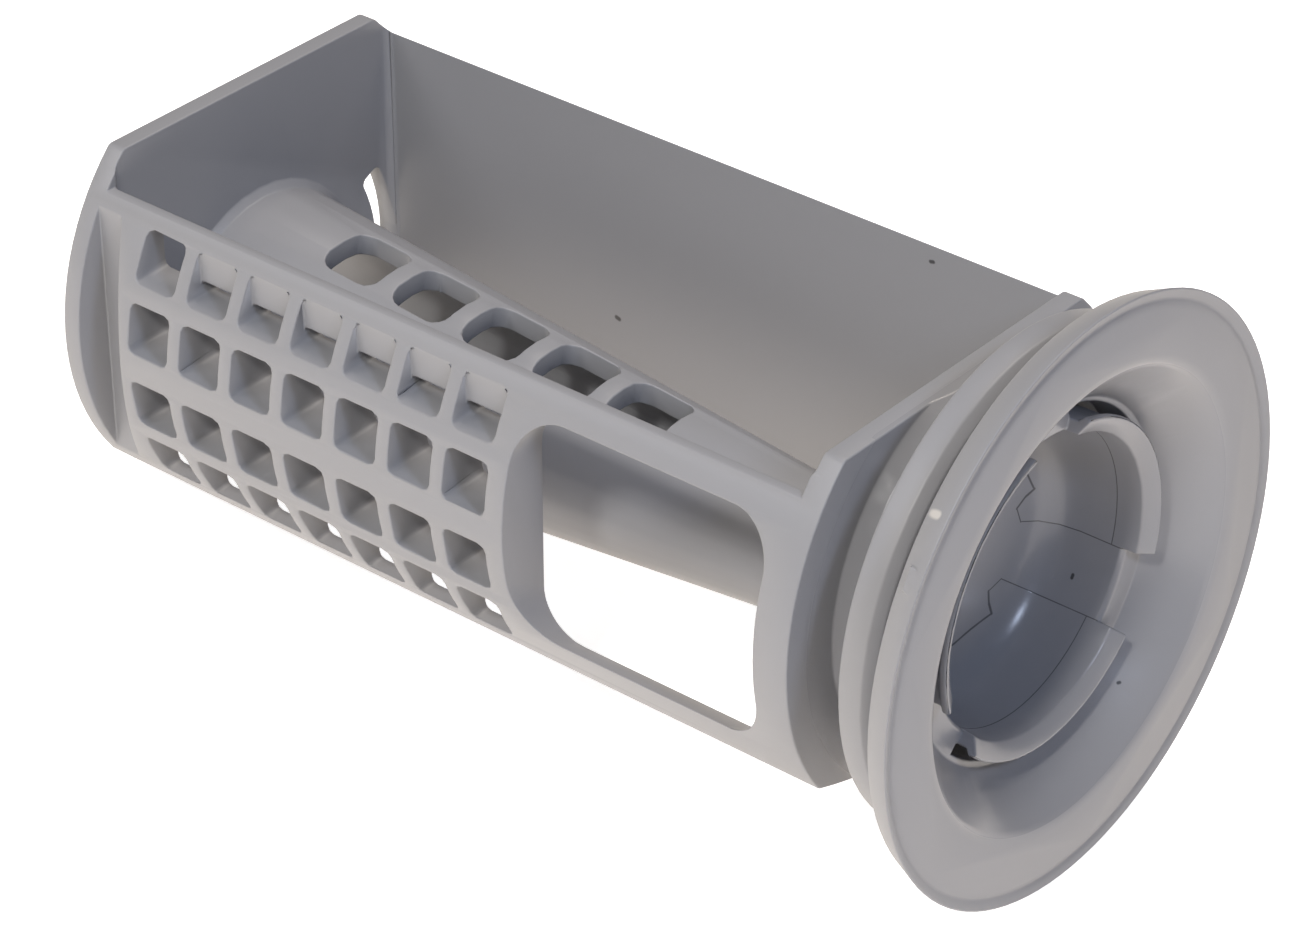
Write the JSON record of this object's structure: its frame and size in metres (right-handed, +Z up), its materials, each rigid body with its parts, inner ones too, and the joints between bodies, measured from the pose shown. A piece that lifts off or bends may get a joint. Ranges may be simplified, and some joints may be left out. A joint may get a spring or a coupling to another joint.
{
  "type": "washing machine lint filter",
  "caption": "One-piece moulded lint filter: open trough with a perforated side wall, a slotted tapered duct, and a round flange with a seal groove and a knob socket.",
  "frame": {"origin": "centre of the knob socket's mouth, on the filter axis, 7.3 mm behind the flange face", "axes": "+X along the filter axis from the back plate toward the flange, +Z up out of the open trough, perforated wall on the -Y side"},
  "size_m": [0.1303, 0.075, 0.075],
  "materials": {
    "grey_plastic": "satin moulded, fine grain"
  },
  "bodies": {
    "root": {"filter_body": "grey_plastic"}
  },
  "joints": []
}
